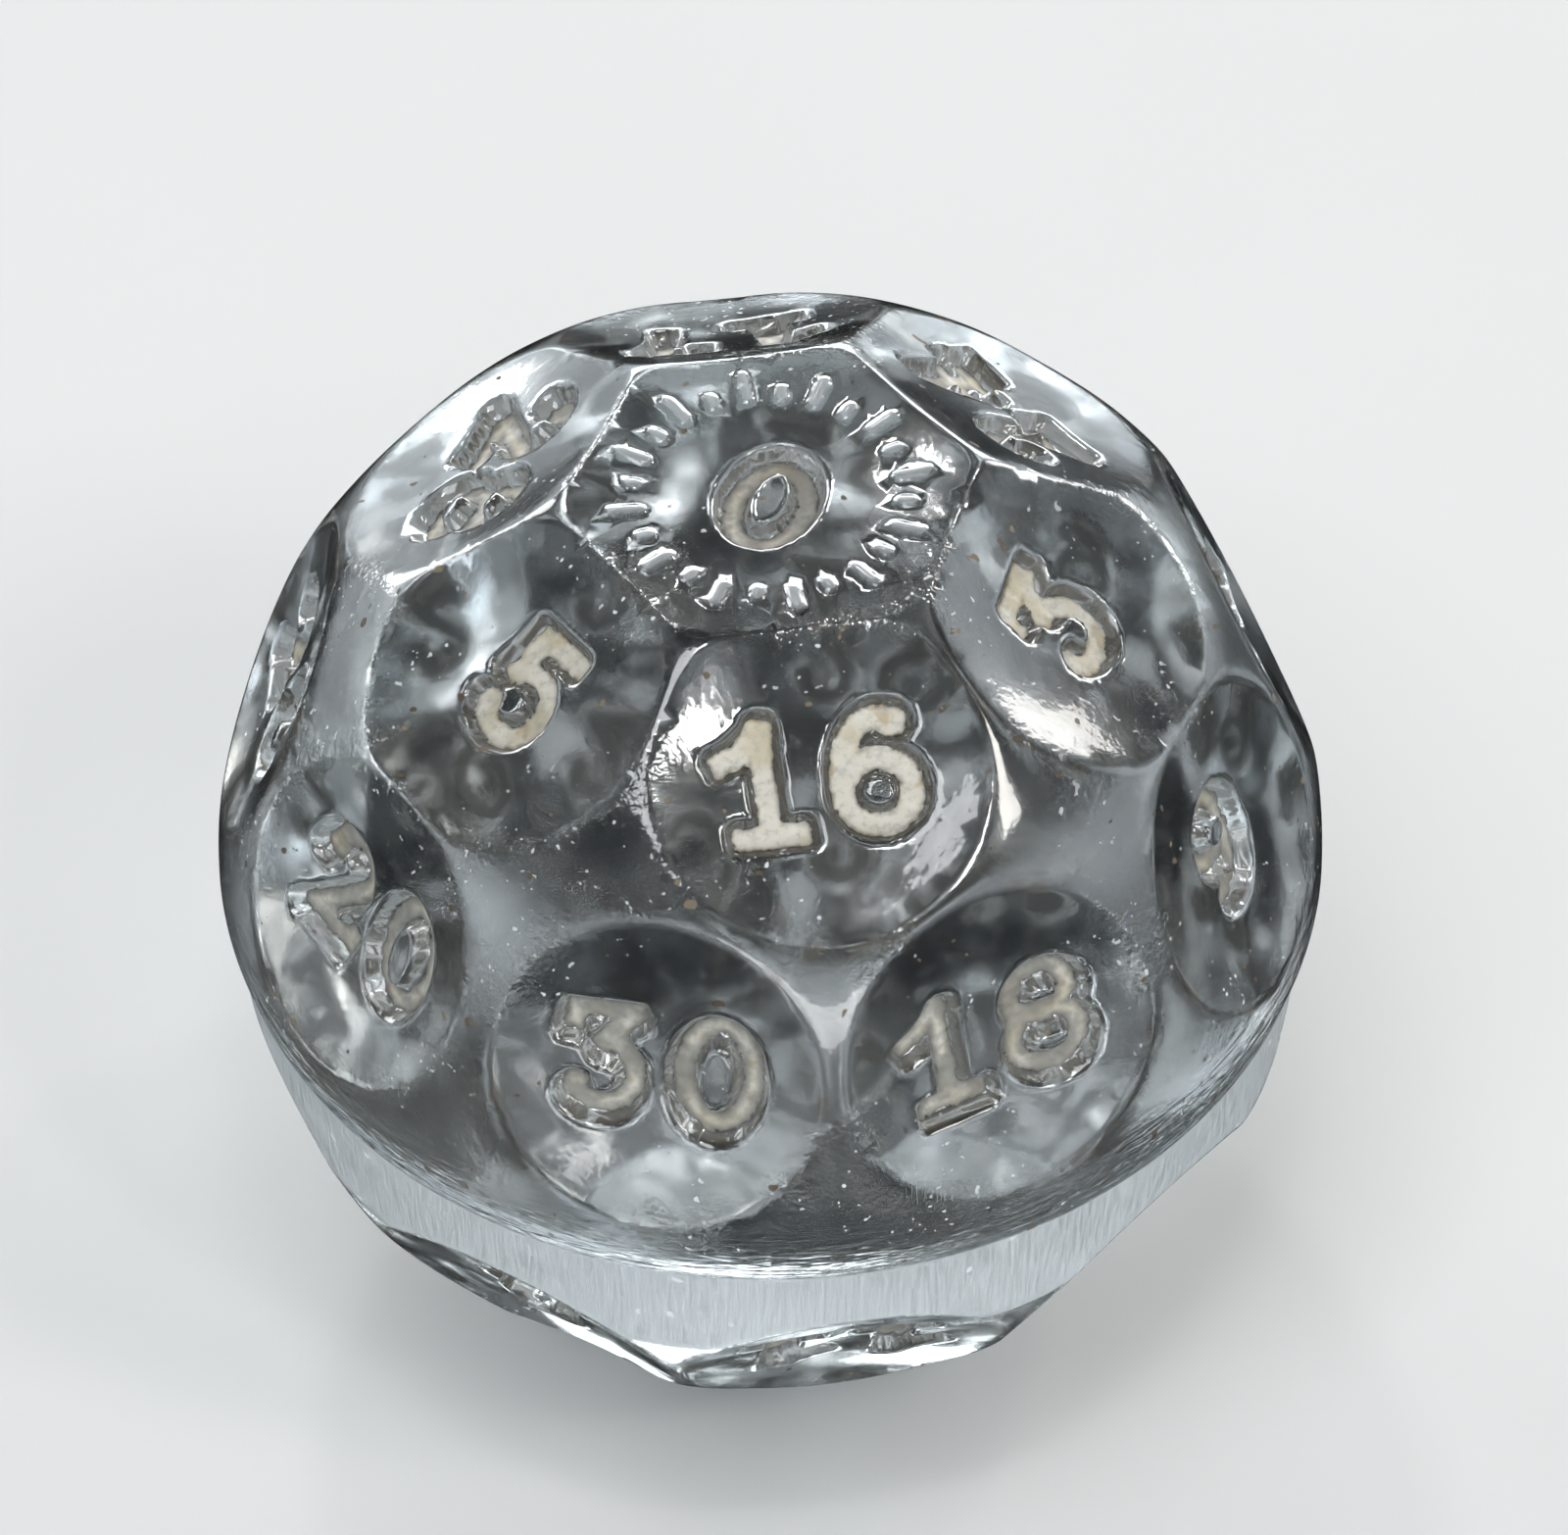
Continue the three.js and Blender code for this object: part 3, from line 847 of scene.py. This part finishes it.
def enamel_material():
    """Old ivory paint: stained, dulled at its rim, rubbed to grey where it is worn, and painted near-black
    underneath as shade seen through the glass.
    """
    nodes = Nodes("ivory_enamel_worn")
    edge = nodes.attribute("edge")
    grain = nodes.noise(5200, detail=3, roughness=0.7)
    aged = nodes.ramp(nodes.noise(620, detail=3, roughness=0.6), 0.46, 0.66)
    colour = nodes.mix(aged, IVORY, IVORY_AGED)
    stain = nodes.ramp(nodes.noise(1500, detail=2, distortion=0.5), 0.6, 0.72)
    colour = nodes.mix(nodes.math("MULTIPLY", stain, 0.6), colour, ENAMEL_STAIN)
    colour = nodes.mix(nodes.math("MULTIPLY", nodes.ramp(grain, 0.46, 0.68), 0.6), colour, ENAMEL_GREY)
    rim = nodes.math("MULTIPLY", edge, nodes.ramp(nodes.noise(2200, detail=3), 0.35, 0.65))
    colour = nodes.mix(nodes.math("MULTIPLY", rim, 0.75), colour, ENAMEL_RIM)
    patchy = nodes.ramp(nodes.noise(900, detail=3), 0.38, 0.62)
    rubbed = nodes.math("MAXIMUM", nodes.math("MULTIPLY", edge, 0.9), nodes.math("MULTIPLY", patchy, 0.75))
    rubbed = nodes.math("MULTIPLY", nodes.attribute("worn"), rubbed)
    colour = nodes.mix(rubbed, colour, ENAMEL_RUBBED)
    # Painted shade: the underside turns near-black.
    colour = nodes.mix(nodes.attribute("under"), colour, PAINTED_UNDERSIDE_SHADE)
    roughness = nodes.ramp(nodes.noise(1800, detail=2), 0.3, 0.7, 0.38, 0.7)
    coarse = nodes.bump(nodes.noise(1500, detail=3), 30 * MICRON, 0.6)
    normal = nodes.bump(grain, 12 * MICRON, 0.6, coarse)
    shader = nodes.principled(Base_Color=colour, Roughness=roughness, Normal=normal)
    nodes.put(nodes.output.inputs["Surface"], shader.outputs[0])
    return nodes.material


# ---------------------------------------------------------------- the pieces
glass_finish = glass_material()
enamel_finish = enamel_material()

die = make_glass(glass_finish)
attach(die, "root")
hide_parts("glass_body")

for facet in FACETS:
    for digit, x, label in digits_of(facet.number):
        fill_piece = make_enamel(facet, digit, x, label, enamel_finish)
        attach(fill_piece, "root")
        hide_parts(f"enamel_{label}")


# ---------------------------------------------------------------- floor, light and camera
FLOOR_COLOURS = [(0.52, 0.52, 0.515, 1), (0.56, 0.56, 0.555, 1)]
FLOOR_HALF = 3.0


def make_floor():
    """A pale floor that the glass neither shows nor mirrors, so that the glass keeps its dark inside."""
    nodes = Nodes("pale_floor")
    colour = nodes.mix(nodes.noise(40, detail=3), *FLOOR_COLOURS)
    shader = nodes.principled(Base_Color=colour, Roughness=0.65)
    nodes.put(nodes.output.inputs["Surface"], shader.outputs[0])
    half = FLOOR_HALF
    corners = [(-half, -half, 0), (half, -half, 0), (half, half, 0), (-half, half, 0)]
    mesh = bpy.data.meshes.new("floor")
    mesh.from_pydata(corners, [], [(0, 1, 2, 3)])
    mesh.materials.append(nodes.material)
    floor = bpy.data.objects.new("floor", mesh)
    bpy.context.scene.collection.objects.link(floor)
    floor.visible_transmission = False
    floor.visible_glossy = False


def aim(thing, target):
    thing.rotation_euler = (Vector(target) - thing.location).to_track_quat("-Z", "Y").to_euler()


def softbox(name, azimuth, elevation, distance, width, height, power, colour):
    """An area light that faces the die. Azimuth 0 is on the camera's side and 90 on the right."""
    data = bpy.data.lights.new(name, "AREA")
    data.shape = "RECTANGLE"
    data.size, data.size_y = width, height
    data.energy = power
    data.color = colour
    lamp = bpy.data.objects.new(name, data)
    turn, rise = math.radians(azimuth), math.radians(elevation)
    middle = Vector(CENTRE * MM)
    lamp.location = middle + distance * Vector(
        (math.cos(rise) * math.sin(turn), -math.cos(rise) * math.cos(turn), math.sin(rise)))
    aim(lamp, middle)
    bpy.context.scene.collection.objects.link(lamp)


CAMERA_ELEVATION = 48.5
CAMERA_DISTANCE = 20 * RADIUS * MM
SENSOR_WIDTH = 36.0
NEAREST_SEEN = 0.01
# The ball's diameter as a share of the picture's width, and the picture's middle as shares of the
# radius above and to the right of the ball's centre.
BALL_IN_FRAME = 0.703
AIM_ABOVE = 0.132
AIM_RIGHT = 0.025


def make_camera():
    data = bpy.data.cameras.new("camera")
    data.sensor_width = SENSOR_WIDTH
    data.lens = data.sensor_width * BALL_IN_FRAME * CAMERA_DISTANCE / (2 * RADIUS * MM)
    data.clip_start = NEAREST_SEEN
    camera = bpy.data.objects.new("camera", data)
    rise = math.radians(CAMERA_ELEVATION)
    middle = Vector(CENTRE * MM)
    camera.location = middle + CAMERA_DISTANCE * Vector((0, -math.cos(rise), math.sin(rise)))
    up = Vector((0, math.sin(rise), math.cos(rise)))
    target = middle + RADIUS * MM * (AIM_ABOVE * up + AIM_RIGHT * Vector((1, 0, 0)))
    aim(camera, target)
    bpy.context.scene.collection.objects.link(camera)
    bpy.context.scene.camera = camera


# Brightness of the room: each pair is the height of a direction, from -1 to 1, and a level.
ROOM_LEVELS = [
    (-1.0, 0.002), (-0.42, 0.008), (-0.26, 0.1), (-0.1, 1.0), (0.2, 2.2), (0.46, 0.12), (1.0, 0.06)]
ROOM_COLOUR = (0.86, 0.94, 1.0, 1)
# The level that the camera sees past the floor's edge.
ROOM_SEEN = 0.75


def make_world():
    """Dark below, brightest just over the horizon and dim overhead."""
    world = bpy.data.worlds.new("studio")
    world.use_nodes = True
    tree = world.node_tree
    place = tree.nodes.new("ShaderNodeTexCoord")
    split = tree.nodes.new("ShaderNodeSeparateXYZ")
    height = tree.nodes.new("ShaderNodeMapRange")
    height.inputs["From Min"].default_value = -1.0
    ramp = tree.nodes.new("ShaderNodeValToRGB")
    ramp.color_ramp.interpolation = "EASE"
    while len(ramp.color_ramp.elements) < len(ROOM_LEVELS):
        ramp.color_ramp.elements.new(0.5)
    for element, (place_up, level) in zip(ramp.color_ramp.elements, ROOM_LEVELS):
        element.position = (place_up + 1) / 2
        element.color = (level, level, level, 1)
    path = tree.nodes.new("ShaderNodeLightPath")
    strength = tree.nodes.new("ShaderNodeMix")
    strength.inputs[3].default_value = ROOM_SEEN
    tree.links.new(place.outputs["Generated"], split.inputs[0])
    tree.links.new(split.outputs[2], height.inputs["Value"])
    tree.links.new(height.outputs[0], ramp.inputs[0])
    tree.links.new(path.outputs["Is Camera Ray"], strength.inputs[0])
    tree.links.new(ramp.outputs[0], strength.inputs[2])
    tree.links.new(strength.outputs[0], tree.nodes["Background"].inputs[1])
    tree.nodes["Background"].inputs[0].default_value = ROOM_COLOUR
    bpy.context.scene.world = world


# The softboxes: name, azimuth, elevation, distance, width, height, power and colour.
WHITE = (1, 1, 1)
COOL = (0.96, 0.98, 1.0)
FAINTLY_COOL = (0.97, 0.99, 1.0)
WARM = (1.0, 0.97, 0.93)
WARMER = (1.0, 0.97, 0.92)
SOFTBOXES = [
    ("key", -30, 66, 0.6, 0.26, 0.34, 1.7, COOL),
    ("back", 193, 46, 0.6, 0.05, 0.08, 0.4, WHITE),
    ("rim", 178, 13, 0.6, 0.60, 0.20, 3.0, FAINTLY_COOL),
    ("left_wing", 222, 18, 0.6, 0.20, 0.26, 1.2, WHITE),
    ("right_wing", 135, 14, 0.6, 0.16, 0.22, 0.8, WARM),
    ("glint", 130, 40, 0.6, 0.04, 0.06, 0.25, WARM),
    ("side", 62, 44, 0.6, 0.08, 0.26, 0.8, WARMER),
    ("front_low", 5, 8, 0.6, 0.5, 0.1, 0.6, WHITE),
    ("front_top", 8, 76, 0.5, 0.08, 0.03, 0.25, WHITE),
    ("front_right", 36, 50, 0.5, 0.03, 0.10, 0.25, WHITE),
]

make_floor()
make_camera()
make_world()
for values in SOFTBOXES:
    softbox(*values)

scene = bpy.context.scene
scene.cycles.max_bounces = 16
scene.cycles.transmission_bounces = 14
scene.cycles.glossy_bounces = 6
scene.cycles.caustics_refractive = True
scene.cycles.use_denoising = True
scene.view_settings.view_transform = "Standard"
